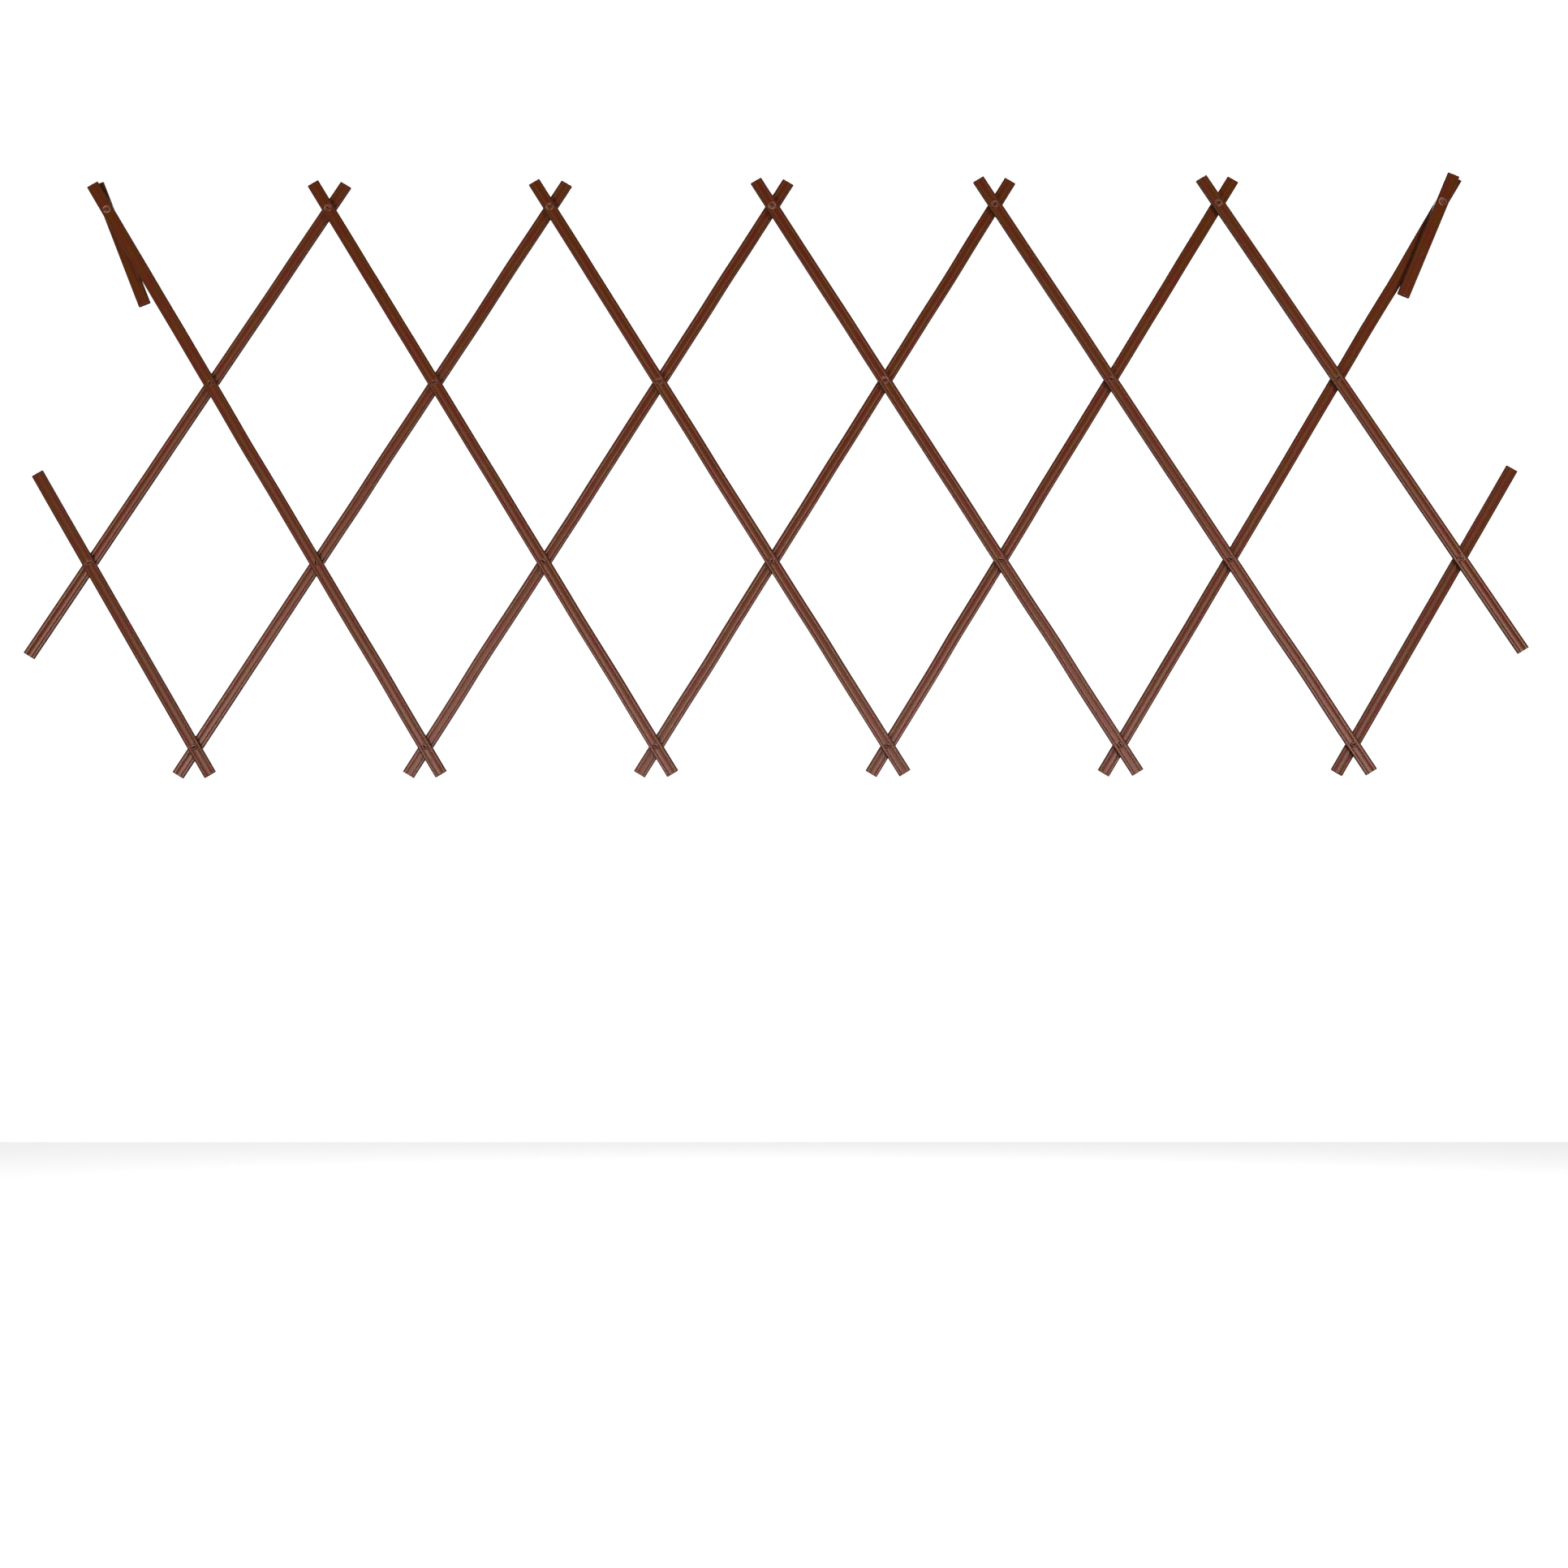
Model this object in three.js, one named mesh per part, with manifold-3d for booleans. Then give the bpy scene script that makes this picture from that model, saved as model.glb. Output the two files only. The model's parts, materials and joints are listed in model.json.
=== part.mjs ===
// Expandable lattice trellis: two layers of hollow fluted plastic slats joined by split snap rivets.
// Millimetres, +Z up. The front faces -Y, the rivet heads and the wall are on the +Y side.
// The origin is the middle of the flat head of the rivet in the middle of the third row.
import * as THREE from "three";
import { mergeVertices } from "three/addons/utils/BufferGeometryUtils.js";
import Module from "manifold-3d";

const wasm = await Module();
wasm.setup();

// Lattice: rows count from the top, columns are half diamonds from the middle of the panel
const rivetSpacing = 360;
const slopeDegrees = 58.6;
const rowCount = 4;
const hangingRow = 3;
const outerColumn = 6;
const endOverhang = 52.5;
const cutTailShare = 0.5;
const backStubLeanDegrees = 8.8;
const frontStubLeanDegrees = 7.5;

// Slat section: a crowned middle, a fine groove and an edge bead on each side of both faces
const slatWidth = 22;
const slatThickness = 6;
const crownWidth = 11;
const crownRise = 0.35;
const grooveWidth = 1;
const grooveDepth = 0.65;
const beadWidth = 2.6;
const beadDrop = 0.15;
const sideRadius = 1.8;
const faceWall = 1.25;
const sideWall = 1.6;
const hollowChamfer = 0.6;

// Split rivet
const shankRadius = 4;
const rivetClearance = 0.35;
const headRadius = 6.5;
const headThickness = 2;
const headRim = 0.6;
const barbCatch = 0.45;
const tipRadius = 3.9;
const tipRise = 1.1;
const slotWidth = 1.7;
const slotFloor = 3;

// Fits and cuts
const seatGap = 0.3;
const cutOverrun = 2;
const holeSides = 12;
const rivetSides = 12;
const cornerSteps = 2;
const crownSteps = 4;

// Slot directions, in degrees from straight across the front slat, row by row from the left
const slotTurns = [
  [-8, 90, 5, 25, -15, 0, 20],
  [-50, -15, 20, -45, 8, 0],
  [35, -70, 10, -25, 60, -5, 80],
  [15, -40, 70, 0, -60, 30],
];

const slope = THREE.MathUtils.degToRad(slopeDegrees);
const columnStep = rivetSpacing * Math.cos(slope);
const rowStep = rivetSpacing * Math.sin(slope);
const cutTail = rivetSpacing * cutTailShare;
const holeRadius = shankRadius + rivetClearance;
const barbRadius = holeRadius + barbCatch;
const backLayerY = -(headThickness + seatGap + slatThickness / 2);
const frontLayerY = backLayerY - slatThickness - seatGap;
const barbY = frontLayerY - slatThickness / 2 - seatGap;
const tipY = barbY - tipRise;

// Merged shared vertices make a closed mesh a solid that can be cut
function toSolid(geometry) {
  geometry.deleteAttribute("normal");
  geometry.deleteAttribute("uv");
  const merged = mergeVertices(geometry);
  return new wasm.Manifold(new wasm.Mesh({
    numProp: 3,
    vertProperties: merged.attributes.position.array,
    triVerts: new Uint32Array(merged.index.array),
  }));
}

function toGeometry(solid) {
  const mesh = solid.getMesh();
  const geometry = new THREE.BufferGeometry();
  geometry.setAttribute("position", new THREE.BufferAttribute(new Float32Array(mesh.vertProperties), 3));
  geometry.setIndex(new THREE.BufferAttribute(new Uint32Array(mesh.triVerts), 1));
  geometry.computeVertexNormals();
  return geometry;
}

// One corner of the slat section, from the middle of the crown round to the side
function sectionQuarter() {
  const top = slatThickness / 2;
  const crownHalf = crownWidth / 2;
  const points = [];
  for (let step = 0; step <= crownSteps / 2; step += 1) {
    const across = step / (crownSteps / 2);
    points.push([crownHalf * across, top - crownRise * across * across]);
  }
  const beadStart = crownHalf + grooveWidth;
  const beadTop = top - beadDrop;
  points.push([crownHalf + grooveWidth / 2, top - grooveDepth]);
  points.push([beadStart, beadTop - beadDrop]);
  points.push([beadStart + beadWidth / 2, beadTop]);
  const cornerX = slatWidth / 2 - sideRadius;
  const cornerY = beadTop - sideRadius;
  for (let step = 0; step <= cornerSteps; step += 1) {
    const angle = (1 - step / cornerSteps) * Math.PI / 2;
    points.push([cornerX + sideRadius * Math.cos(angle), cornerY + sideRadius * Math.sin(angle)]);
  }
  return points;
}

// The quarter turned and mirrored into the whole outline, anticlockwise
function sectionOutline() {
  const quarter = sectionQuarter();
  const rightTop = quarter.map(([x, y]) => new THREE.Vector2(x, y)).reverse();
  const leftTop = quarter.slice(1).map(([x, y]) => new THREE.Vector2(-x, y));
  const leftBottom = quarter.map(([x, y]) => new THREE.Vector2(-x, -y)).reverse();
  const rightBottom = quarter.slice(1).map(([x, y]) => new THREE.Vector2(x, -y));
  return [...rightTop, ...leftTop, ...leftBottom, ...rightBottom];
}

function hollowOutline() {
  const x = slatWidth / 2 - sideWall;
  const y = slatThickness / 2 - faceWall;
  const cut = Math.min(hollowChamfer, y);
  const corner = [[x, y - cut], [x - cut, y]];
  const mirrored = (sx, sy) => corner.map(([px, py]) => new THREE.Vector2(sx * px, sy * py));
  return [...mirrored(1, 1), ...mirrored(-1, 1).reverse(), ...mirrored(-1, -1), ...mirrored(1, -1).reverse()];
}

// A slat lies along its own +X from its first rivet, with its faces towards -Y and +Y
function slatSolid(rivets, headEnd, tailEnd) {
  const section = new THREE.Shape(sectionOutline());
  section.holes.push(new THREE.Path(hollowOutline()));
  const reach = (rivets - 1) * rivetSpacing;
  const bar = new THREE.ExtrudeGeometry(section, { depth: headEnd + reach + tailEnd, bevelEnabled: false });
  bar.rotateY(Math.PI / 2);
  bar.translate(-headEnd, 0, 0);
  let solid = toSolid(bar);
  for (let index = 0; index < rivets; index += 1) {
    const drill = new THREE.CylinderGeometry(holeRadius, holeRadius, slatThickness + cutOverrun, holeSides);
    drill.translate(index * rivetSpacing, 0, 0);
    solid = solid.subtract(toSolid(drill));
  }
  return solid;
}

// A turned rivet with its head at the back and its two barbed legs parted by a slot
function rivetSolid() {
  const profile = [
    [0, tipY],
    [tipRadius, tipY],
    [barbRadius, barbY],
    [shankRadius, barbY],
    [shankRadius, -headThickness],
    [headRadius, -headThickness],
    [headRadius, -headRim],
    [headRadius - headRim, 0],
    [0, 0],
  ];
  const body = new THREE.LatheGeometry(profile.map(([x, y]) => new THREE.Vector2(x, y)), rivetSides);
  const slotDepth = -slotFloor - tipY + cutOverrun;
  const slot = new THREE.BoxGeometry(slotWidth, slotDepth, 2 * barbRadius + cutOverrun);
  slot.translate(0, -slotFloor - slotDepth / 2, 0);
  return toSolid(body).subtract(toSolid(slot));
}

function slatPlastic() {
  return new THREE.MeshStandardMaterial({ color: 0x6a3a28, roughness: 0.45, metalness: 0 });
}

function rivetPlastic() {
  return new THREE.MeshStandardMaterial({ color: 0x7a564b, roughness: 0.5, metalness: 0 });
}

function inPanel(column) {
  return Math.abs(column) <= outerColumn;
}

// Where a rivet stands, at the height of the given layer
function rivetPlace(row, column, layerY) {
  return new THREE.Vector3(column * columnStep, layerY, (hangingRow - row) * rowStep);
}

// One layer of parallel slats; step is +1 where they run down to the right, -1 to the left.
// The stub hangs on one rivet, leaning in against the end slat of the other layer.
function layerOfSlats(layer, step, layerY, stubLean) {
  const group = new THREE.Group();
  const farColumn = outerColumn + rowCount;
  const downRight = -slope;
  const downLeft = slope - Math.PI;
  const latticeAngle = step > 0 ? downRight : downLeft;
  const crossingAngle = step > 0 ? downLeft : downRight;
  for (let middle = -farColumn; middle <= farColumn; middle += 2) {
    const rows = [];
    for (let row = 1; row <= rowCount; row += 1) {
      if (inPanel(middle + step * (row - hangingRow))) {
        rows.push(row);
      }
    }
    if (rows.length > 0) {
      const first = rows[0];
      const last = rows[rows.length - 1];
      const headEnd = first === 1 ? endOverhang : cutTail;
      const tailEnd = last === rowCount ? endOverhang : cutTail;
      const isStub = rows.length === 1;
      const slat = new THREE.Mesh(toGeometry(slatSolid(rows.length, headEnd, tailEnd)), slatPlastic());
      slat.name = isStub ? `${layer}_stub` : `${layer}_slat_${(middle + outerColumn) / 2 + 1}`;
      slat.position.copy(rivetPlace(first, middle + step * (first - hangingRow), layerY));
      slat.rotation.y = isStub ? -(crossingAngle + step * stubLean) : -latticeAngle;
      group.add(slat);
    }
  }
  return group;
}

function rivets() {
  const group = new THREE.Group();
  const solid = rivetSolid();
  for (let row = 1; row <= rowCount; row += 1) {
    let number = 0;
    for (let column = -outerColumn; column <= outerColumn; column += 1) {
      if ((column + row - hangingRow) % 2 === 0) {
        const rivet = new THREE.Mesh(toGeometry(solid), rivetPlastic());
        const turn = slotTurns[row - 1][number % slotTurns[row - 1].length];
        number += 1;
        rivet.name = `rivet_row${row}_${number}`;
        rivet.position.copy(rivetPlace(row, column, 0));
        rivet.rotation.y = slope + THREE.MathUtils.degToRad(turn);
        group.add(rivet);
      }
    }
  }
  return group;
}

const trellis = new THREE.Group();
trellis.add(layerOfSlats("front", 1, frontLayerY, THREE.MathUtils.degToRad(frontStubLeanDegrees)));
trellis.add(layerOfSlats("back", -1, backLayerY, THREE.MathUtils.degToRad(backStubLeanDegrees)));
trellis.add(rivets());

export default trellis;
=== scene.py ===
import json
import math

import bpy
import numpy as np
from mathutils import Euler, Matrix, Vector


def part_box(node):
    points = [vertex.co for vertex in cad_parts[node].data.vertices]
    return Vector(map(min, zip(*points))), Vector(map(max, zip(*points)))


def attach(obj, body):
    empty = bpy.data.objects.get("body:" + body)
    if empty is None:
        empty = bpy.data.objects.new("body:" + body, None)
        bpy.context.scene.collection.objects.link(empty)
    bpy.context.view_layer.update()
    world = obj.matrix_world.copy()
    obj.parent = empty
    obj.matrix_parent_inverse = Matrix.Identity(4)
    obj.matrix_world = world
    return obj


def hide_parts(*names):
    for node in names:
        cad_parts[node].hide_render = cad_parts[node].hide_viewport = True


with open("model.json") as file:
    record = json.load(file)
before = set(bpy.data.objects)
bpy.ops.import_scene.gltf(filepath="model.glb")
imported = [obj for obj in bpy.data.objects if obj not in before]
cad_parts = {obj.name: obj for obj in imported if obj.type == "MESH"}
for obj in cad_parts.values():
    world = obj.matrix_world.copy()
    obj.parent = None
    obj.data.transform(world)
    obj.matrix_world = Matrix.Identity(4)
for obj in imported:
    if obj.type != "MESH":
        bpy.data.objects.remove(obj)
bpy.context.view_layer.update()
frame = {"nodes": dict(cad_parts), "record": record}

MM = 0.001
QUARTER_TURN = math.pi / 2
NOISE_MIDDLE = 0.5
scene = bpy.context.scene

# Slat section
SLAT_WIDTH = 21 * MM
SLAT_THICKNESS = 6 * MM
CROWN_WIDTH = 7.6 * MM
CROWN_RISE = 0.32 * MM
GROOVE_WIDTH = 1.8 * MM
GROOVE_DEPTH = 0.62 * MM
BEAD_DROP = 0.14 * MM
BEAD_RISE = 0.2 * MM
SIDE_RADIUS = 1.8 * MM
FACE_WALL = 1.25 * MM
SIDE_WALL = 1.6 * MM
HOLLOW_CHAMFER = 0.6 * MM
END_ROUNDING = 0.5 * MM

# Split rivet
RIVET_LENGTH = 16 * MM
HEAD_RADIUS = 6.5 * MM
HEAD_THICKNESS = 2 * MM
HEAD_ROUNDING = 0.6 * MM
SHANK_RADIUS = 4 * MM
BARB_RADIUS = 4.6 * MM
TIP_RADIUS = 4.1 * MM
TIP_RISE = 1.1 * MM
TIP_EDGE = 0.35 * MM
TIP_DISH = 0.35 * MM
SLOT_WIDTH = 2.3 * MM
SLOT_NECK = 0.7 * MM
SLOT_MIDDLE = 6 * MM
SLOT_FLOOR = 3 * MM
LEG_SPREAD = 0.1 * MM
LEG_SQUEEZE = 0.3 * MM

# Rivet hole, and the lip that the rivet tears up round it
HOLE_RADIUS = 4.35 * MM
LIP_RADIUS = 4.95 * MM
LIP_HALF_WIDTH = 0.35 * MM
LIP_SPREAD = 0.7 * MM
LIP_HEIGHT = 0.5 * MM
LIP_SINK = 0.12 * MM
LIP_TAPER_SHARE = 0.35
LIP_RAG = 1.3 * MM
LIP_RAG_SCALE = 330
LIP_FLAT_SHARE = 0.8
LIP_FLAT_TEAR = 0.4

# How far the extruded slats wander between their rivets, and the share of it that cut slats keep
ROLL = math.radians(2.2)
BOW = 0.9 * MM
CUT_SLAT_SHARE = 0.25
WANDER_RATE = 4
WANDER_GAIN = 2
BATCH_STEP = 3.7
BOW_OFFSET = 50

# Slot directions, in degrees from straight across the front slat, row by row from the left
SLOT_TURNS = [
    [-8, 90, 5, -20, -15, -10, 20],
    [-40, 0, 16, -14, 43, -9],
    [31, -64, 66, -24, 39, 56, 41],
    [11, 66, 56, 51, 90, 16],
]

# How far each hole was torn open and turned pale, in the same order
TEARS = [
    [1.2, 1.0, 1.1, 1.2, 0.7, 0.9, 1.3],
    [0.2, 0.45, 0.8, 0.8, 0.4, 0.6],
    [0.6, 0.15, 0.25, 0.6, 0.3, 0.15, 1.0],
    [0.1, 0.1, 0.15, 0.15, 0.2, 0.1],
]


class Socket:
    """A node's output that takes part in Python arithmetic."""

    def __init__(self, graph, output):
        self.graph = graph
        self.output = output

    def __add__(self, other):
        return self.graph.math("ADD", self, other)

    def __radd__(self, other):
        return self.graph.math("ADD", other, self)

    def __sub__(self, other):
        return self.graph.math("SUBTRACT", self, other)

    def __rsub__(self, other):
        return self.graph.math("SUBTRACT", other, self)

    def __mul__(self, other):
        return self.graph.math("MULTIPLY", self, other)

    def __rmul__(self, other):
        return self.graph.math("MULTIPLY", other, self)

    def __truediv__(self, other):
        return self.graph.math("DIVIDE", self, other)

    def __pow__(self, other):
        return self.graph.math("POWER", self, other)

    def __mod__(self, other):
        return self.graph.math("MODULO", self, other)

    def __lt__(self, other):
        return self.graph.math("LESS_THAN", self, other)

    def __gt__(self, other):
        return self.graph.math("GREATER_THAN", self, other)


class Graph:
    """Adds nodes to one shader or geometry tree."""

    def __init__(self, tree):
        self.tree = tree

    def node(self, kind, settings=None, sockets=None, output=0):
        """A node of this kind: its settings first, then values or links by socket name or number."""
        made = self.tree.nodes.new(kind)
        for name, value in (settings or {}).items():
            setattr(made, name, value)
        for key, value in (sockets or {}).items():
            self.feed(made.inputs[key], value)
        return Socket(self, made.outputs[output])

    def feed(self, socket, value):
        """Links a socket, or each of a list of sockets, or else sets a value."""
        if isinstance(value, Socket):
            self.tree.links.new(value.output, socket)
        elif isinstance(value, list):
            for part in value:
                self.tree.links.new(part.output, socket)
        else:
            socket.default_value = value

    def math(self, operation, *values, clamp=False):
        settings = {"operation": operation, "use_clamp": clamp}
        return self.node("ShaderNodeMath", settings, dict(enumerate(values)))

    def clamp(self, value):
        """The value kept between 0 and 1."""
        return self.math("ADD", value, 0, clamp=True)

    def rise(self, value, start, gain):
        """0 up to the start, from where it rises with the value to 1."""
        return self.clamp((value - start) * gain)

    def sine(self, value):
        return self.math("SINE", value)

    def cosine(self, value):
        return self.math("COSINE", value)

    def vector(self, x, y, z):
        return self.node("ShaderNodeCombineXYZ", None, {"X": x, "Y": y, "Z": z})

    def split(self, vector):
        apart = self.tree.nodes.new("ShaderNodeSeparateXYZ")
        self.feed(apart.inputs[0], vector)
        return [Socket(self, output) for output in apart.outputs]

    def vectors(self, operation, first, second):
        """Two vectors taken together."""
        return self.node("ShaderNodeVectorMath", {"operation": operation}, {0: first, 1: second})

    def scaled(self, vector, scale):
        """A vector times a number."""
        return self.node("ShaderNodeVectorMath", {"operation": "SCALE"}, {0: vector, "Scale": scale})

    def mix(self, factor, first, second):
        """A colour between two colours."""
        settings = {"data_type": "RGBA", "clamp_factor": True}
        return self.node("ShaderNodeMix", settings, {0: factor, 6: first, 7: second}, output=2)


# Finishes

DEEP_BROWN = (0.098, 0.0165, 0.0010, 1)
RED_BROWN = (0.118, 0.0152, 0.0042, 1)
ORANGE_BROWN = (0.102, 0.0250, 0.0006, 1)
# Pale brown of rubbed lines and scuffs, and also of the painted sheen haze
PALE_BROWN = (0.142, 0.0410, 0.0150, 1)
# Painted shade: the dark brown that the slats' rounded sides are darkened to
EDGE_SHADE_BROWN = (0.030, 0.0090, 0.0030, 1)
RIVET_BROWN = (0.110, 0.0260, 0.0080, 1)
RIVET_PALE = (0.230, 0.0920, 0.0600, 1)
LIP_BROWN = (0.112, 0.0260, 0.0080, 1)
LIP_WHITENED = (0.370, 0.1650, 0.1100, 1)
# Width of the band of painted shade along each side of a slat
EDGE_SHADE_WIDTH = 2.4 * MM
SPECULAR = 0.1

# Patterns in the slat plastic: their scale along, across and through a slat
HUE_SCALE = (38, 60, 60)
TONE_SCALE = (9, 30, 30)
SHEEN_HAZE_SCALE = (22, 50, 50)
LINE_SCALE = (5, 1500, 600)
SCUFF_SCALE = (60, 500, 500)
SPECK_SCALE = (900, 900, 900)
GRAIN_SCALE = (240, 420, 420)
HUE_RANGE = (0.38, 0.62)

# Where each pattern starts to show, and how fast it rises from there
DEEP_RISE = (0.42, 1.6)
LINE_RISE = (0.5, 1.2)
SCUFF_RISE = (0.66, 2)
SHEEN_HAZE_RISE = (0.5, 2)
SPECK_RISE = (0.79, 12)
BLOTCH_RISE = (0.4, 3)
TORN_RISE = (0.4, 6)

# How much of each pattern goes into the colour and the bump
RUBBED_SHARE = 0.5
SHEEN_HAZE_SHARE = 0.3
SPECK_SHARE = 0.6
EDGE_SHADE_SHARE = 0.85
LIFT_SHARE = 1.2
FIBRE_SHARE = 0.8
LINE_BUMP_SHARE = 0.6
GRAIN_BUMP_SHARE = 0.4

# Scale and detail of the patterns in rivets and lips
BLOTCHES = (260, 3)
RIVET_GRAIN = (1900, 2)
TORN_SIDES = (130, 1)
FIBRES = (1500, 3)

# Roughness, and what the patterns add to it
SLAT_ROUGHNESS = 0.21
LINE_ROUGHNESS = 0.08
SCUFF_ROUGHNESS = 0.06
RIVET_ROUGHNESS = 0.3
RIVET_GRAIN_ROUGHNESS = 0.12
LIP_ROUGHNESS = 0.34
FIBRE_ROUGHNESS = 0.2

# Strength and depth of each bump
SLAT_BUMP = (0.25, 0.05 * MM)
RIVET_BUMP = (0.12, 0.06 * MM)
LIP_BUMP = (0.4, 0.08 * MM)


def finish(name):
    """A new material, its graph and its shader node."""
    material = bpy.data.materials.new(name)
    material.use_nodes = True
    tree = material.node_tree
    return material, Graph(tree), tree.nodes["Principled BSDF"]


def feed_plastic(graph, shader, colour, roughness, bump, height):
    """Gives a plastic its colour, its roughness and a bump of this strength and depth."""
    strength, depth = bump
    graph.feed(shader.inputs["Base Color"], colour)
    graph.feed(shader.inputs["Roughness"], roughness)
    shader.inputs["Specular IOR Level"].default_value = SPECULAR
    sockets = {"Strength": strength, "Distance": depth, "Height": height}
    graph.feed(shader.inputs["Normal"], graph.node("ShaderNodeBump", None, sockets))


def attribute(graph, name, output="Fac"):
    return graph.node("ShaderNodeAttribute", {"attribute_name": name}, output=output)


def object_noise(graph, scale, detail):
    """Noise on Object coordinates."""
    place = graph.node("ShaderNodeTexCoord", output="Object")
    return graph.node("ShaderNodeTexNoise", None, {"Vector": place, "Scale": scale, "Detail": detail})


def slat_plastic():
    """Satin extruded plastic: draw lines and patches of tone that run along the slat, pale patches of
    painted sheen, and painted shade along its rounded sides.
    """
    material, graph, shader = finish("satin_brown_plastic")
    place = attribute(graph, "lengthwise", "Vector")
    batch = attribute(graph, "batch")

    def noise(scale, detail):
        stretched = graph.vectors("MULTIPLY", place, scale)
        sockets = {"Vector": stretched, "W": batch, "Scale": 1, "Detail": detail}
        return graph.node("ShaderNodeTexNoise", {"noise_dimensions": "4D"}, sockets)

    hue = noise(HUE_SCALE, detail=2)
    tone = noise(TONE_SCALE, detail=2)
    # Painted sheen: large pale hazy patches along each slat stand in for the sheen that comes and goes
    # along it
    sheen_haze = noise(SHEEN_HAZE_SCALE, detail=3)
    lines = noise(LINE_SCALE, detail=3)
    scuffs = noise(SCUFF_SCALE, detail=4)
    specks = noise(SPECK_SCALE, detail=0)
    grain = noise(GRAIN_SCALE, detail=1)

    low, high = HUE_RANGE
    patchy = graph.node("ShaderNodeMapRange", None, {"Value": hue, "From Min": low, "From Max": high})
    colour = graph.mix(patchy, ORANGE_BROWN, RED_BROWN)
    colour = graph.mix(graph.rise(tone, *DEEP_RISE), colour, DEEP_BROWN)
    # Rubbed lines and scuffs are real wear, and the haze added to them is painted sheen. Together they
    # lighten the colour towards pale brown.
    rubbed_and_sheen = graph.rise(lines, *LINE_RISE) + graph.rise(scuffs, *SCUFF_RISE)
    rubbed_and_sheen = rubbed_and_sheen * RUBBED_SHARE + graph.rise(sheen_haze, *SHEEN_HAZE_RISE) * SHEEN_HAZE_SHARE
    colour = graph.mix(rubbed_and_sheen, colour, PALE_BROWN)
    colour = graph.mix(graph.rise(specks, *SPECK_RISE) * SPECK_SHARE, colour, LIP_WHITENED)
    # Painted shade: the colour darkens towards each rounded side of the slat, standing in for the shade
    # where the sides turn away from the light
    from_side = SLAT_WIDTH / 2 - graph.math("ABSOLUTE", graph.split(place)[1])
    colour = graph.mix(graph.clamp(1 - from_side / EDGE_SHADE_WIDTH) * EDGE_SHADE_SHARE, colour, EDGE_SHADE_BROWN)
    roughness = SLAT_ROUGHNESS + lines * LINE_ROUGHNESS + scuffs * SCUFF_ROUGHNESS
    height = lines * LINE_BUMP_SHARE + grain * GRAIN_BUMP_SHARE
    feed_plastic(graph, shader, colour, roughness, SLAT_BUMP, height)
    return material


def rivet_plastic():
    """Moulded plastic, paler where the legs were squeezed through the hole."""
    material, graph, shader = finish("pale_rivet_plastic")
    grain = object_noise(graph, *RIVET_GRAIN)
    whitened = graph.rise(object_noise(graph, *BLOTCHES), *BLOTCH_RISE) * attribute(graph, "tear")
    colour = graph.mix(whitened, RIVET_BROWN, RIVET_PALE)
    roughness = RIVET_ROUGHNESS + grain * RIVET_GRAIN_ROUGHNESS
    feed_plastic(graph, shader, colour, roughness, RIVET_BUMP, grain)
    return material


def lip_plastic():
    """Torn slat plastic, stretched until it turned pale at its edge, more on one side of the hole."""
    material, graph, shader = finish("torn_lip_plastic")
    fibres = object_noise(graph, *FIBRES)
    torn_side = graph.rise(object_noise(graph, *TORN_SIDES), *TORN_RISE)
    stretched = graph.clamp(attribute(graph, "lift") * LIFT_SHARE + (fibres - NOISE_MIDDLE) * FIBRE_SHARE)
    colour = graph.mix(stretched * torn_side * attribute(graph, "tear"), LIP_BROWN, LIP_WHITENED)
    feed_plastic(graph, shader, colour, LIP_ROUGHNESS + fibres * FIBRE_ROUGHNESS, LIP_BUMP, fibres)
    return material


# Geometry trees

SHARP_ANGLE = math.radians(32)
WELD = 0.001 * MM
SECTION_PARTS = 4
PART_STEPS = 4
QUARTER_STEPS = SECTION_PARTS * PART_STEPS
SLAT_COLUMNS = 4 * (QUARTER_STEPS + 1)
END_STEPS = 2
RING_SPACING = 18 * MM
HOLE_SIDES = 40
SLOT_SIDES = 24
RIVET_SIDES = 40
PROFILE_PARTS = 8
PROFILE_STEPS = 4
LIP_SIDES = 56
LIP_STEPS = 10
FACE_FRONT = (QUARTER_TURN, 0, 0)

# How much longer a cutting tool is than its cut, and the slot's block in barb radii
TOOL_SHARE = 2
BLOCK_SHARE = 3


def geometry_tree(name, inputs):
    """A geometry tree with named inputs: its graph and a socket for each input."""
    tree = bpy.data.node_groups.new(name, "GeometryNodeTree")
    for label, kind in inputs.items():
        tree.interface.new_socket(label, in_out="INPUT", socket_type="NodeSocket" + kind)
    tree.interface.new_socket("Geometry", in_out="OUTPUT", socket_type="NodeSocketGeometry")
    graph = Graph(tree)
    source = tree.nodes.new("NodeGroupInput")
    return graph, {label: Socket(graph, source.outputs[label]) for label in inputs}


def end_tree(graph, geometry, material):
    """Closes a tree with sharp edges by angle, Realize Instances and Set Material."""
    real = graph.node("GeometryNodeRealizeInstances", None, {"Geometry": geometry})
    angle = graph.node("GeometryNodeInputMeshEdgeAngle")
    smooth = {"Geometry": real, "Shade Smooth": True}
    smooth = graph.node("GeometryNodeSetShadeSmooth", {"domain": "FACE"}, smooth)
    sharp = {"Geometry": smooth, "Selection": angle > SHARP_ANGLE, "Shade Smooth": False}
    edged = graph.node("GeometryNodeSetShadeSmooth", {"domain": "EDGE"}, sharp)
    dressed = graph.node("GeometryNodeSetMaterial", None, {"Geometry": edged, "Material": material})
    result = graph.tree.nodes.new("NodeGroupOutput")
    graph.feed(result.inputs["Geometry"], dressed)
    return graph.tree


def grid(graph, rows, columns):
    """A net of rows and columns, with the row and the column of each of its points."""
    mesh = graph.node("GeometryNodeMeshGrid", None, {"Vertices X": rows, "Vertices Y": columns})
    index = graph.node("GeometryNodeInputIndex")
    row = graph.math("FLOOR", index / columns)
    return mesh, row, index - row * columns


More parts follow.
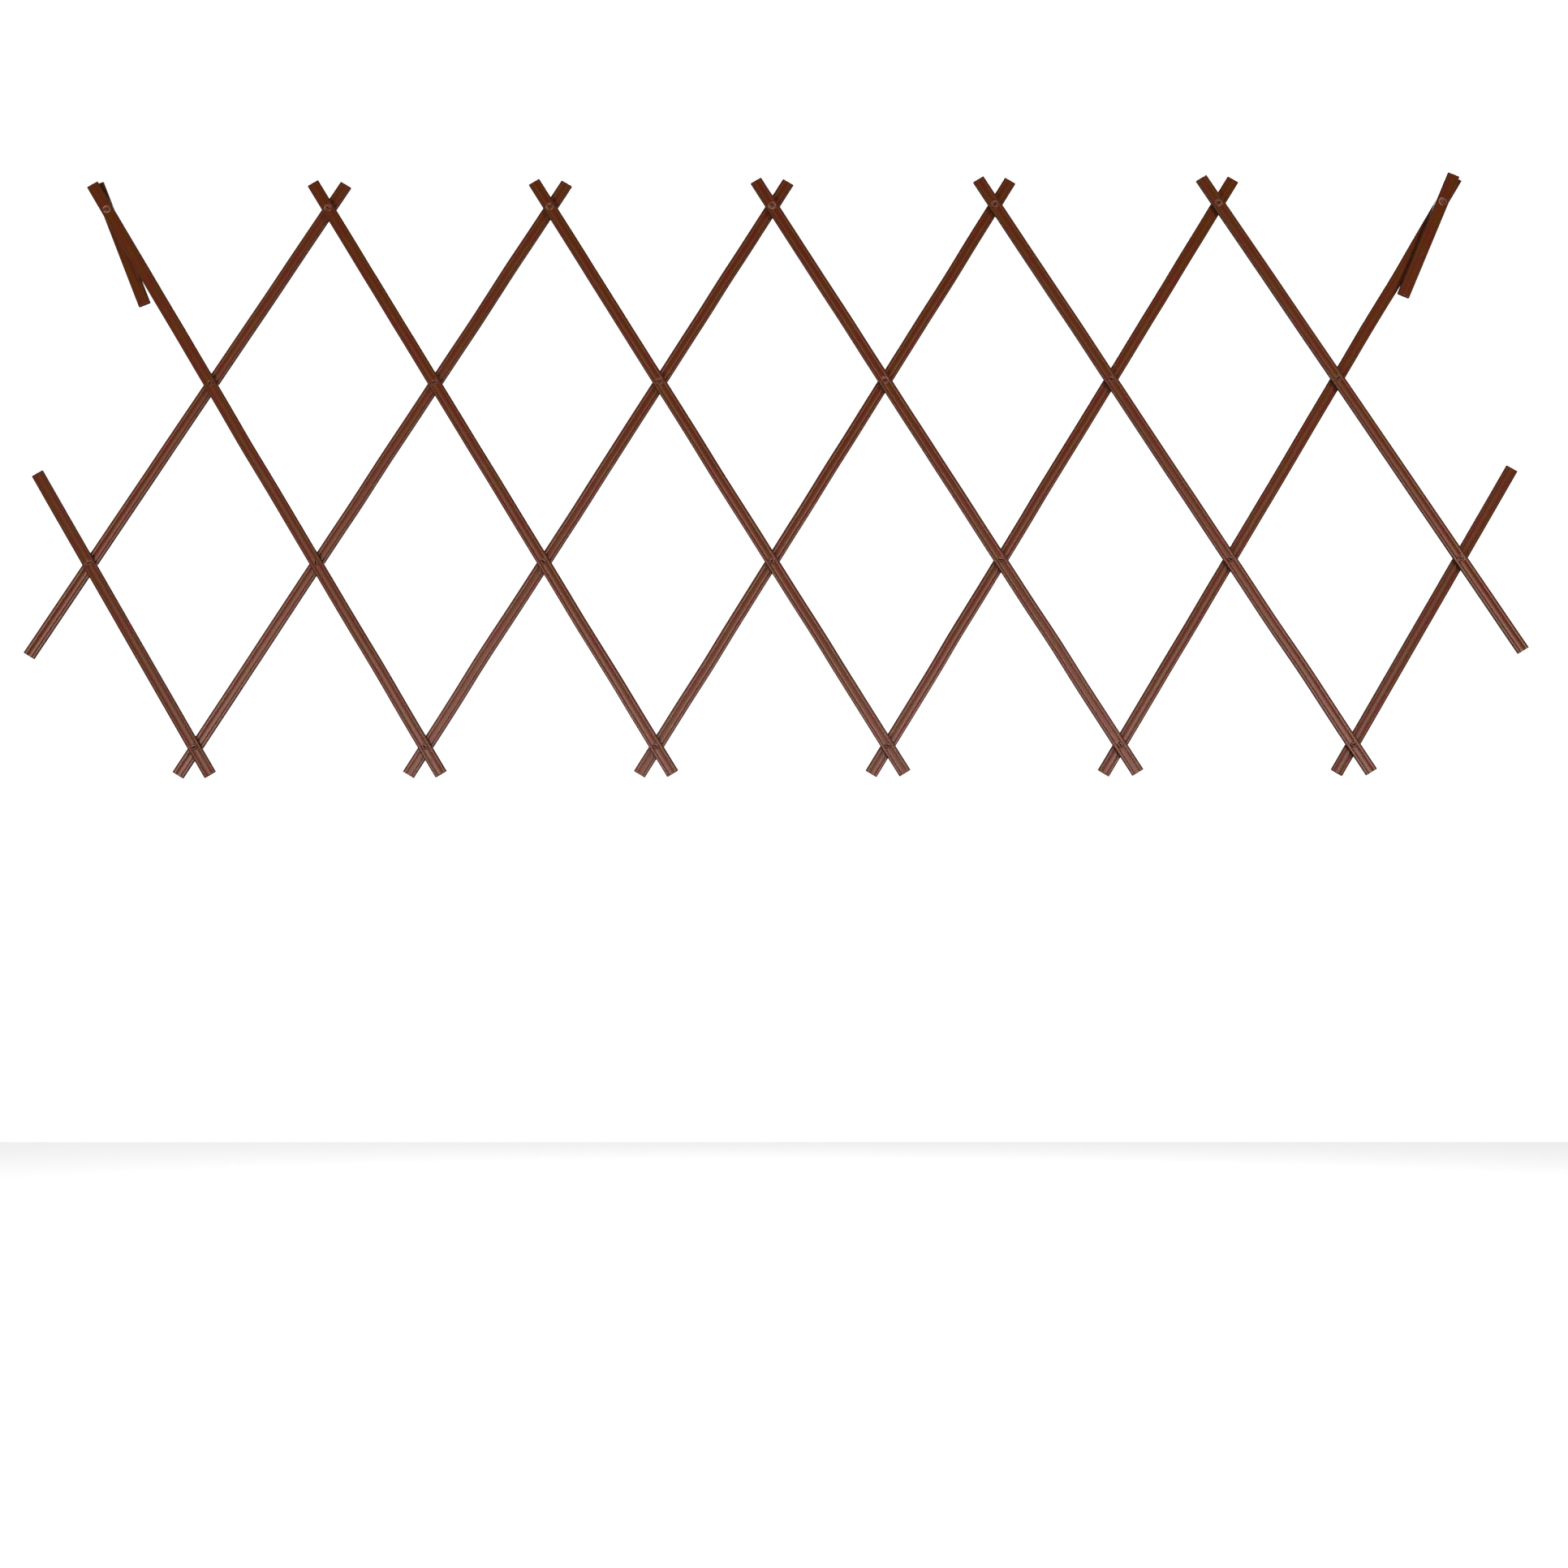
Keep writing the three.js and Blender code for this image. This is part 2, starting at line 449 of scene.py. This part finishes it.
def cylinder(graph, sides, radius, depth):
    sockets = {"Vertices": sides, "Radius": radius, "Depth": depth}
    return graph.node("GeometryNodeMeshCylinder", None, sockets)


def moved(graph, geometry, **sockets):
    """The points put at a Position or shifted by an Offset."""
    return graph.node("GeometryNodeSetPosition", None, {"Geometry": geometry, **sockets})


def laid(graph, geometry, **sockets):
    """The whole piece scaled, turned and shifted."""
    return graph.node("GeometryNodeTransform", None, {"Geometry": geometry, **sockets})


def copied(graph, piece, points, **sockets):
    """A real copy of the piece at each point."""
    sockets = {"Points": points, "Instance": piece, **sockets}
    copies = graph.node("GeometryNodeInstanceOnPoints", None, sockets)
    return graph.node("GeometryNodeRealizeInstances", None, {"Geometry": copies})


def cut(graph, body, tool):
    """The body less the tool."""
    settings = {"operation": "DIFFERENCE", "solver": "MANIFOLD"}
    return graph.node("GeometryNodeMeshBoolean", settings, {"Mesh 1": body, "Mesh 2": [tool]})


def welded(graph, geometry):
    return graph.node("GeometryNodeMergeByDistance", None, {"Geometry": geometry, "Distance": WELD})


def stored(graph, geometry, name, value, kind="FLOAT"):
    settings = {"data_type": kind, "domain": "POINT"}
    sockets = {"Geometry": geometry, "Name": name, "Value": value}
    return graph.node("GeometryNodeStoreNamedAttribute", settings, sockets)


def named(graph, name, kind="FLOAT"):
    return graph.node("GeometryNodeInputNamedAttribute", {"data_type": kind}, {"Name": name})


def between(graph, start, stop, values):
    """1 where the value lies between start and stop, else 0."""
    return (values > start) * (values < stop)


def stretches(graph, share, count):
    """How far each of the stretches of a line is done, from 0 to 1, one after the other."""
    return [graph.math("ADD", share, -part, clamp=True) for part in range(count)]


def fluted_slat_tree():
    """A hollow fluted slat along its own X from its first rivet, holed, then laid in its place."""
    graph, size = geometry_tree("fluted_slat", {
        "Head": "Float", "Length": "Float", "Rings": "Int", "Rivets": "Int", "Spacing": "Float",
        "Width": "Float", "Thickness": "Float", "Crown Width": "Float", "Crown Rise": "Float",
        "Groove Width": "Float", "Groove Depth": "Float", "Bead Drop": "Float", "Bead Rise": "Float",
        "Side Radius": "Float", "Face Wall": "Float", "Side Wall": "Float", "Hollow Chamfer": "Float",
        "End Rounding": "Float", "Hole Radius": "Float", "Roll": "Float", "Bow": "Float",
        "Seed": "Float", "Place": "Vector", "Slope": "Float", "Material": "Material",
    })
    rings = size["Rings"]
    mesh, ring, column = grid(graph, rings * 2 + 1, SLAT_COLUMNS + 1)

    # Round the section: four quarters, each from the middle of a face to the side
    quarter = graph.math("FLOOR", column / (QUARTER_STEPS + 1))
    share = (column - quarter * (QUARTER_STEPS + 1)) / QUARTER_STEPS
    back = quarter % 2
    share = share + back * (1 - share * 2)

    # Quarters 0 and 1 lie on the right, 0 and 3 at the front
    right = 1 - (quarter > 1.5) * 2
    front = 1 - between(graph, 0.5, 2.5, quarter) * 2
    crown, groove, bead, corner = stretches(graph, share * SECTION_PARTS, SECTION_PARTS)
    half = size["Width"] / 2
    top = size["Thickness"] / 2
    crown_half = size["Crown Width"] / 2
    bead_width = half - size["Side Radius"] - crown_half - size["Groove Width"]
    turn = corner * QUARTER_TURN
    outer_across = crown_half * crown + size["Groove Width"] * groove + bead_width * bead
    outer_across = outer_across + size["Side Radius"] * graph.sine(turn)
    outer_height = top - size["Crown Rise"] * crown * crown
    outer_height = outer_height - (size["Groove Depth"] - size["Crown Rise"]) * graph.sine(groove * math.pi)
    outer_height = outer_height + (size["Crown Rise"] - size["Bead Drop"] * 2) * groove
    outer_height = outer_height + size["Bead Rise"] * graph.sine(bead * math.pi)
    outer_height = outer_height - size["Side Radius"] * (1 - graph.cosine(turn))
    chamfer = size["Hollow Chamfer"]
    flat = crown + groove + bead
    inner_across = (half - size["Side Wall"] - chamfer) * flat / (SECTION_PARTS - 1) + chamfer * corner
    inner_height = top - size["Face Wall"] - chamfer * corner

    # Along the slat: out over the outer wall and back through the hollow
    inner = between(graph, rings - 0.5, rings * 2 - 0.5, ring)
    outward = ring < rings - 0.5
    step = ring * outward + (rings * 2 - 1 - ring) * inner
    from_head = graph.clamp(step / END_STEPS) * QUARTER_TURN
    from_tail = graph.clamp((rings - 1 - step) / END_STEPS) * QUARTER_TURN
    end_rings = END_STEPS + 1
    middle = graph.clamp((step - end_rings) / (rings - 1 - end_rings * 2))
    near_ends = graph.clamp(step - END_STEPS) + graph.clamp(step - (rings - 1 - end_rings))

    # Each end takes two roundings: the rounded edge and one straight ring
    rounding = size["End Rounding"]
    along = rounding * (1 - graph.cosine(from_head)) + rounding * graph.cosine(from_tail)
    along = along + rounding * near_ends + (size["Length"] - rounding * 4) * middle - size["Head"]
    inset = rounding * (2 - graph.sine(from_head) - graph.sine(from_tail)) * (1 - inner)
    across = outer_across * (1 - inset / half) + (inner_across - outer_across) * inner
    height = outer_height + (inner_height - outer_height) * inner - inset
    position = graph.vector(along, across * right, height * front)
    bar = welded(graph, moved(graph, mesh, Position=position))

    # Rivet holes
    drill = cylinder(graph, HOLE_SIDES, size["Hole Radius"], size["Thickness"] * TOOL_SHARE)
    centres = {"Count": size["Rivets"], "Offset": graph.vector(size["Spacing"], 0, 0)}
    centres = graph.node("GeometryNodeMeshLine", None, centres)
    bar = cut(graph, bar, copied(graph, drill, centres))
    bar = stored(graph, bar, "lengthwise", graph.node("GeometryNodeInputPosition"), "FLOAT_VECTOR")
    bar = stored(graph, bar, "batch", size["Seed"])

    # A slight roll and bow that die out at each rivet
    x, y, z = graph.split(graph.node("GeometryNodeInputPosition"))
    swell = graph.sine(x / size["Spacing"] * math.pi) ** 2

    def wander(offset):
        """Slow noise along the slat, below and above zero."""
        sockets = {"W": x * WANDER_RATE + size["Seed"] * BATCH_STEP + offset, "Scale": 1, "Detail": 1}
        return graph.node("ShaderNodeTexNoise", {"noise_dimensions": "1D"}, sockets) * 2 - 1

    roll = size["Roll"] * swell * wander(0) * WANDER_GAIN
    bow = size["Bow"] * swell * wander(BOW_OFFSET) * WANDER_GAIN
    rolled_y = y * graph.cosine(roll) - z * graph.sine(roll) + bow
    rolled_z = y * graph.sine(roll) + z * graph.cosine(roll)
    bar = moved(graph, bar, Position=graph.vector(x, rolled_y, rolled_z))
    turned = graph.vector(QUARTER_TURN, 0 - size["Slope"], 0)
    bar = laid(graph, bar, Translation=size["Place"], Rotation=turned)
    return end_tree(graph, bar, size["Material"])


def split_rivet_tree():
    """A snap rivet with a flat head and two sprung legs, copied to each point and turned there."""
    graph, size = geometry_tree("split_rivet", {
        "Points": "Geometry", "Length": "Float", "Head Radius": "Float", "Head Thickness": "Float",
        "Head Rounding": "Float", "Shank Radius": "Float", "Barb Radius": "Float", "Tip Radius": "Float",
        "Tip Rise": "Float", "Tip Edge": "Float", "Tip Dish": "Float", "Slot Width": "Float",
        "Slot Neck": "Float", "Slot Middle": "Float", "Slot Floor": "Float", "Leg Spread": "Float",
        "Leg Squeeze": "Float", "Material": "Material",
    })
    mesh, row, column = grid(graph, PROFILE_PARTS * PROFILE_STEPS + 1, RIVET_SIDES + 1)
    parts = stretches(graph, row / PROFILE_STEPS, PROFILE_PARTS)
    face, edge, flank, shoulder, shank, under, rim, base = parts
    edge_turn = edge * QUARTER_TURN
    rim_turn = rim * math.pi
    radius = (size["Tip Radius"] - size["Tip Edge"]) * face + size["Tip Edge"] * graph.sine(edge_turn)
    radius = radius + (size["Barb Radius"] - size["Tip Radius"]) * flank
    radius = radius - (size["Barb Radius"] - size["Shank Radius"]) * shoulder
    radius = radius + (size["Head Radius"] - size["Head Rounding"] - size["Shank Radius"]) * under
    radius = radius + size["Head Rounding"] * graph.sine(rim_turn)
    radius = radius - (size["Head Radius"] - size["Head Rounding"]) * base
    shank_length = size["Length"] - size["Tip Rise"] - size["Head Thickness"]
    depth = size["Tip Dish"] * (1 - face * face) + size["Tip Edge"] * (1 - graph.cosine(edge_turn))
    depth = depth + (size["Tip Rise"] - size["Tip Edge"]) * flank + shank_length * shank
    depth = depth + size["Head Thickness"] * (1 - graph.cosine(rim_turn)) / 2
    turn = column * (2 * math.pi / RIVET_SIDES)
    place = graph.vector(radius * graph.cosine(turn), radius * graph.sine(turn), size["Length"] - depth)
    legs = welded(graph, moved(graph, mesh, Position=place))

    # The slot: a narrow cut right across, wider in an oval at its middle
    slot_depth = size["Length"] - size["Slot Floor"]
    tool_depth = slot_depth * TOOL_SHARE
    up_slot = graph.vector(0, 0, size["Slot Floor"] + slot_depth)
    block = graph.vector(size["Slot Neck"], size["Barb Radius"] * BLOCK_SHARE, tool_depth)
    block = graph.node("GeometryNodeMeshCube", None, {"Size": block})
    legs = cut(graph, legs, laid(graph, block, Translation=up_slot))
    oval = cylinder(graph, SLOT_SIDES, size["Slot Width"] / 2, tool_depth)
    stretch = graph.vector(1, size["Slot Middle"] / size["Slot Width"], 1)
    legs = cut(graph, legs, laid(graph, oval, Translation=up_slot, Scale=stretch))
    x, _, z = graph.split(graph.node("GeometryNodeInputPosition"))
    side = graph.math("SIGN", x)
    legs = stored(graph, legs, "apart", graph.clamp((z - size["Slot Floor"]) / slot_depth) * side)
    legs = laid(graph, legs, Rotation=Euler(FACE_FRONT))
    turned = named(graph, "turn")
    copies = copied(graph, legs, size["Points"], Rotation=graph.vector(0, turned, 0))

    # Legs that sprang open, or stay squeezed where the hole tore
    spring = named(graph, "apart") * (size["Leg Spread"] - size["Leg Squeeze"] * named(graph, "tear"))
    offset = graph.vector(spring * graph.cosine(turned), 0, 0 - spring * graph.sine(turned))
    return end_tree(graph, moved(graph, copies, Offset=offset), size["Material"])


def torn_lip_tree():
    """A low ring of plastic pushed up round each hole: flat where it held, ragged where it tore."""
    graph, size = geometry_tree("torn_lip", {
        "Points": "Geometry", "Radius": "Float", "Half Width": "Float", "Spread": "Float",
        "Height": "Float", "Sink": "Float", "Rag": "Float", "Flat Share": "Float", "Flat Tear": "Float",
        "Material": "Material",
    })
    mesh, row, column = grid(graph, LIP_STEPS + 1, LIP_SIDES + 1)
    round_section = row * (2 * math.pi / LIP_STEPS)
    turn = column * (2 * math.pi / LIP_SIDES)
    lift = (1 + graph.sine(round_section)) / 2
    swell = graph.cosine(round_section) * (1 - lift * LIP_TAPER_SHARE)
    radius = size["Radius"] + size["Half Width"] * swell
    height = (size["Height"] + size["Sink"]) * lift - size["Sink"]
    widen = size["Spread"] * (swell + 1)
    outward = graph.vector(widen * graph.cosine(turn), 0, widen * graph.sine(turn))
    ring = stored(graph, mesh, "lift", lift)
    ring = stored(graph, ring, "widen", outward, "FLOAT_VECTOR")
    position = graph.vector(radius * graph.cosine(turn), radius * graph.sine(turn), height)
    ring = welded(graph, moved(graph, ring, Position=position))
    ring = graph.node("GeometryNodeFlipFaces", None, {"Mesh": ring})
    ring = laid(graph, ring, Rotation=Euler(FACE_FRONT))
    copies = copied(graph, ring, size["Points"])

    # Ragged and wider where it tore, sunk where the hole held
    place = graph.node("GeometryNodeInputPosition")
    sockets = {"Vector": place, "Scale": LIP_RAG_SCALE, "Detail": 2}
    wave = graph.node("ShaderNodeTexNoise", None, sockets, output="Color")
    wave = graph.vectors("SUBTRACT", wave, (NOISE_MIDDLE, NOISE_MIDDLE, NOISE_MIDDLE))
    tear = named(graph, "tear")
    ragged = graph.scaled(wave, size["Rag"] * tear * named(graph, "lift"))
    wider = graph.scaled(named(graph, "widen", "FLOAT_VECTOR"), tear)
    held = graph.clamp(1 - tear / size["Flat Tear"])
    sunk = size["Height"] * size["Flat Share"] * held * named(graph, "lift")
    offset = graph.vectors("ADD", graph.vectors("ADD", ragged, wider), graph.vector(0, sunk, 0))
    return end_tree(graph, moved(graph, copies, Offset=offset), size["Material"])


def build(tree, name, source=None, **sizes):
    """Runs a tree as a modifier and returns an object that holds its result as a plain mesh."""
    piece = bpy.data.objects.new(name, source or bpy.data.meshes.new(name))
    scene.collection.objects.link(piece)
    maker = piece.modifiers.new("maker", "NODES")
    maker.node_group = tree
    for item in tree.interface.items_tree:
        key = item.name.replace(" ", "_").lower()
        if item.in_out == "INPUT" and key in sizes:
            maker[item.identifier] = sizes[key]
    shaped = piece.evaluated_get(bpy.context.evaluated_depsgraph_get())
    mesh = bpy.data.meshes.new_from_object(shaped)
    piece.modifiers.remove(maker)
    piece.data = mesh
    mesh.name = name
    return piece


def point_mesh(name, places, **values):
    """A mesh of loose points with a number on each for every value given."""
    mesh = bpy.data.meshes.new(name)
    mesh.from_pydata(places, [], [])
    for label, numbers in values.items():
        mesh.attributes.new(label, "FLOAT", "POINT").data.foreach_set("value", numbers)
    return mesh


# Places, read from the frame

def centre(node):
    low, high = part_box(node)
    return (low + high) / 2


def slat_line(node, rivets):
    """Where a slat starts, which way it runs down, its ends and its rivets, from the top."""
    points = np.array([vertex.co for vertex in frame["nodes"][node].data.vertices])
    middle = points.mean(axis=0)
    flat = (points - middle)[:, [0, 2]]
    along = np.linalg.svd(flat, full_matrices=False)[2][0]
    along = along * (-1 if along[1] > 0 else 1)
    half_length = np.abs(flat @ along).max()
    on_line = []
    for rivet in rivets:
        place = centre(rivet)
        offset = np.array([place.x - middle[0], place.z - middle[2]])
        aside = abs(offset[0] * along[1] - offset[1] * along[0])
        reach = offset @ along
        if aside < HOLE_RADIUS and abs(reach) < half_length:
            on_line.append((reach, rivet))
    on_line.sort()
    first = centre(on_line[0][1])
    reaches = (points[:, [0, 2]] - np.array([first.x, first.z])) @ along
    return {
        "place": Vector((first.x, (points[:, 1].min() + points[:, 1].max()) / 2, first.z)),
        "slope": math.atan2(along[1], along[0]),
        "head": -reaches.min(),
        "tail": reaches.max(),
        "rivets": [rivet for _, rivet in on_line],
    }


def layer(name):
    """The nodes of one layer: its lattice slats from the left, then its stub."""
    return [f"{name}_slat_{number + 1}" for number in range(LAYER_SLATS)] + [f"{name}_stub"]


def rivet_row(row):
    return [f"rivet_row{row + 1}_{number + 1}" for number in range(len(SLOT_TURNS[row]))]


LAYER_SLATS = 7
ROWS = len(SLOT_TURNS)
RIVETS = [rivet for row in range(ROWS) for rivet in rivet_row(row)]
FRONT = layer("front")
SLATS = {node: slat_line(node, RIVETS) for node in FRONT + layer("back")}
FRONT_SLOPE = SLATS["front_slat_4"]["slope"]
BODIES = frame["record"]["behaviour"]["bodies"]
BODY_OF = {node: body for body, nodes in BODIES.items() for node in nodes}
SPACING = (centre("rivet_row1_2") - centre("rivet_row2_2")).length


def make_slats(material):
    tree = fluted_slat_tree()
    for number, (node, line) in enumerate(SLATS.items()):
        length = line["head"] + line["tail"]
        calm = CUT_SLAT_SHARE if len(line["rivets"]) < ROWS else 1
        piece = build(
            tree, f"fluted_{node}", head=line["head"], length=length, rings=int(length / RING_SPACING),
            rivets=len(line["rivets"]), spacing=SPACING, width=SLAT_WIDTH, thickness=SLAT_THICKNESS,
            crown_width=CROWN_WIDTH, crown_rise=CROWN_RISE, groove_width=GROOVE_WIDTH,
            groove_depth=GROOVE_DEPTH, bead_drop=BEAD_DROP, bead_rise=BEAD_RISE,
            side_radius=SIDE_RADIUS, face_wall=FACE_WALL, side_wall=SIDE_WALL,
            hollow_chamfer=HOLLOW_CHAMFER, end_rounding=END_ROUNDING, hole_radius=HOLE_RADIUS,
            roll=ROLL * calm, bow=BOW * calm, seed=float(number),
            place=line["place"], slope=line["slope"], material=material)
        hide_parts(node)
        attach(piece, BODY_OF[node])


def rivets_by_body():
    groups = {}
    for rivet in RIVETS:
        groups.setdefault(BODY_OF[rivet], []).append(rivet)
    return groups


def of_rivet(table, rivet):
    """A rivet's number in a table that is laid out as the rows are."""
    row, number = [int(part) for part in rivet.removeprefix("rivet_row").split("_")]
    return table[row - 1][number - 1]


def rivet_points(rivets, y, **values):
    """A point for each rivet, with its numbers on it."""
    places = [(centre(rivet).x, y, centre(rivet).z) for rivet in rivets]
    tears = [of_rivet(TEARS, rivet) for rivet in rivets]
    return point_mesh("rivet_points", places, tear=tears, **values)


def make_rivets(material):
    tree = split_rivet_tree()
    for body, rivets in rivets_by_body().items():
        turns = [math.radians(of_rivet(SLOT_TURNS, rivet)) - FRONT_SLOPE for rivet in rivets]
        piece = build(
            tree, f"split_rivets_{body}", rivet_points(rivets, 0, turn=turns), length=RIVET_LENGTH,
            head_radius=HEAD_RADIUS, head_thickness=HEAD_THICKNESS, head_rounding=HEAD_ROUNDING,
            shank_radius=SHANK_RADIUS, barb_radius=BARB_RADIUS, tip_radius=TIP_RADIUS,
            tip_rise=TIP_RISE, tip_edge=TIP_EDGE, tip_dish=TIP_DISH, slot_width=SLOT_WIDTH,
            slot_neck=SLOT_NECK, slot_middle=SLOT_MIDDLE, slot_floor=SLOT_FLOOR,
            leg_spread=LEG_SPREAD, leg_squeeze=LEG_SQUEEZE, material=material)
        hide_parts(*rivets)
        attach(piece, body)


def make_lips(material):
    tree = torn_lip_tree()
    for node in FRONT:
        line = SLATS[node]
        face = line["place"].y - SLAT_THICKNESS / 2
        piece = build(
            tree, f"torn_lips_{node}", rivet_points(line["rivets"], face), radius=LIP_RADIUS,
            half_width=LIP_HALF_WIDTH, spread=LIP_SPREAD, height=LIP_HEIGHT, sink=LIP_SINK,
            rag=LIP_RAG, flat_share=LIP_FLAT_SHARE, flat_tear=LIP_FLAT_TEAR, material=material)
        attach(piece, BODY_OF[node])


# Studio

WHITE = (1, 1, 1, 1)
BLACK = (0, 0, 0, 1)

CAMERA_PLACE = (0.054, -3.0, -0.782)
CAMERA_PITCH = math.radians(7.864)
CAMERA_YAW = math.radians(-0.660)
CAMERA_ROLL = math.radians(-0.037)
SENSOR = 36
LENS = 42.92

FLOOR_HEIGHT = -1.25
FLOOR_SIZE = 24
BACKDROP_PLACE = 6.0
STAGE_COLOUR = (0.8, 0.8, 0.8, 1)
STAGE_ROUGHNESS = 0.9
FLOOR_GLOW = 0.75
BACKDROP_GLOW = 1
AMBIENT = 0.1

KEY_PLACE = (2.9, -2.0, 0.55)
KEY_TARGET = (0, 0, 0.3)
KEY_SIZE = (0.4, 0.9)
KEY_POWER = 14.8
KEY_SPREAD = math.radians(80)
REAR_PLACE = (0.3, 3.4, 2.6)
REAR_TARGET = (0, 0, 0.15)
REAR_SIZE = (2.4, 1.6)
REAR_POWER = 110

# The sheen board, and how its glow falls off upwards and to the sides
BOARD_PLACE = -3.7
BOARD_REACH = 4.8
BOARD_HEIGHTS = (-1.0, 4.0)
BOARD_GLOW = 32
GLOW_REACH = 3.2
GLOW_HEIGHT = 2.2
BOARD_FALL = 3.5
SIDE_FALL = 1.0
HUMP_PLACE = 1.7
HUMP_WIDTH = 0.7
HUMP_HEIGHT = 0.85


def place_camera():
    camera = bpy.data.objects.new("camera", bpy.data.cameras.new("camera"))
    scene.collection.objects.link(camera)
    camera.data.sensor_width = SENSOR
    camera.data.lens = LENS
    camera.location = CAMERA_PLACE
    aim = Euler((QUARTER_TURN + CAMERA_PITCH, 0, -CAMERA_YAW), "XYZ").to_matrix()
    roll = Euler((0, 0, CAMERA_ROLL)).to_matrix()
    camera.rotation_euler = (aim @ roll).to_euler()
    scene.camera = camera


def softbox(name, place, target, size, power):
    """A large soft lamp that the camera doesn't see."""
    data = bpy.data.lights.new(name, "AREA")
    data.shape = "RECTANGLE"
    data.size, data.size_y = size
    data.energy = power
    lamp = bpy.data.objects.new(name, data)
    scene.collection.objects.link(lamp)
    lamp.location = place
    lamp.rotation_euler = (Vector(target) - Vector(place)).to_track_quat("-Z", "Y").to_euler()
    lamp.visible_camera = False
    return lamp


def light_keys():
    """A tall lamp on each side, which the gloss doesn't mirror."""
    x, y, z = KEY_PLACE
    for side in (-1, 1):
        key = softbox("key_softbox", (side * x, y, z), KEY_TARGET, KEY_SIZE, KEY_POWER)
        key.visible_glossy = False
        key.data.spread = KEY_SPREAD


def seen(graph):
    """1 for rays that show the background: those of the camera, reflections and clear parts."""
    path = graph.tree.nodes.new("ShaderNodeLightPath")
    kinds = ("Is Camera Ray", "Is Glossy Ray", "Is Transmission Ray")
    camera, glossy, transmission = [Socket(graph, path.outputs[kind]) for kind in kinds]
    return graph.clamp(camera + glossy + transmission)


def light_world():
    world = bpy.data.worlds.new("studio")
    world.use_nodes = True
    scene.world = world
    graph = Graph(world.node_tree)
    background = world.node_tree.nodes["Background"]
    background.inputs["Color"].default_value = WHITE
    graph.feed(background.inputs["Strength"], AMBIENT + seen(graph) * (1 - AMBIENT))


def glowing_panel(name, corners, colour):
    """A flat stage piece that glows white: its object, its graph and its shader node."""
    mesh = bpy.data.meshes.new(name)
    mesh.from_pydata(corners, [], [(0, 1, 2, 3)])
    panel = bpy.data.objects.new(name, mesh)
    scene.collection.objects.link(panel)
    material, graph, shader = finish(name)
    shader.inputs["Base Color"].default_value = colour
    shader.inputs["Roughness"].default_value = STAGE_ROUGHNESS
    shader.inputs["Specular IOR Level"].default_value = 0
    shader.inputs["Emission Color"].default_value = WHITE
    mesh.materials.append(material)
    return panel, graph, shader


def stage_plane(name, corners, glow):
    """A flat pale stage piece, lifted by its own glow towards the white of the background."""
    _, graph, shader = glowing_panel(name, corners, STAGE_COLOUR)
    graph.feed(shader.inputs["Emission Strength"], seen(graph) * glow)


def sheen_board():
    """A board behind the camera, mirrored by the gloss only: bright at its foot and dark at its top."""
    low, high = BOARD_HEIGHTS
    corners = [(-BOARD_REACH, BOARD_PLACE, low), (BOARD_REACH, BOARD_PLACE, low),
               (BOARD_REACH, BOARD_PLACE, high), (-BOARD_REACH, BOARD_PLACE, high)]
    board, graph, shader = glowing_panel("sheen_board", corners, BLACK)
    across, _, height = graph.split(graph.node("ShaderNodeTexCoord", output="Object"))
    across = graph.math("ABSOLUTE", across)
    aside = (across - HUMP_PLACE) / HUMP_WIDTH
    hump = graph.math("EXPONENT", 0 - aside * aside)
    fall = graph.clamp((GLOW_HEIGHT - height + hump * HUMP_HEIGHT) / (GLOW_HEIGHT - low))
    edge = graph.clamp((GLOW_REACH - across) / SIDE_FALL)
    graph.feed(shader.inputs["Emission Strength"], fall ** BOARD_FALL * edge * BOARD_GLOW)
    board.visible_camera = False
    board.visible_diffuse = False
    board.visible_shadow = False
    board.visible_transmission = False


def build_studio():
    reach = FLOOR_SIZE / 2
    floor = [(-reach, -reach, FLOOR_HEIGHT), (reach, -reach, FLOOR_HEIGHT),
             (reach, BACKDROP_PLACE, FLOOR_HEIGHT), (-reach, BACKDROP_PLACE, FLOOR_HEIGHT)]
    wall = [(-reach, BACKDROP_PLACE, FLOOR_HEIGHT), (reach, BACKDROP_PLACE, FLOOR_HEIGHT),
            (reach, BACKDROP_PLACE, reach), (-reach, BACKDROP_PLACE, reach)]
    stage_plane("studio_floor", floor, FLOOR_GLOW)
    stage_plane("studio_backdrop", wall, BACKDROP_GLOW)
    light_keys()
    sheen_board()
    softbox("rear_softbox", REAR_PLACE, REAR_TARGET, REAR_SIZE, REAR_POWER)
    light_world()
    scene.view_settings.view_transform = "Standard"


place_camera()
make_slats(slat_plastic())
make_rivets(rivet_plastic())
make_lips(lip_plastic())
build_studio()
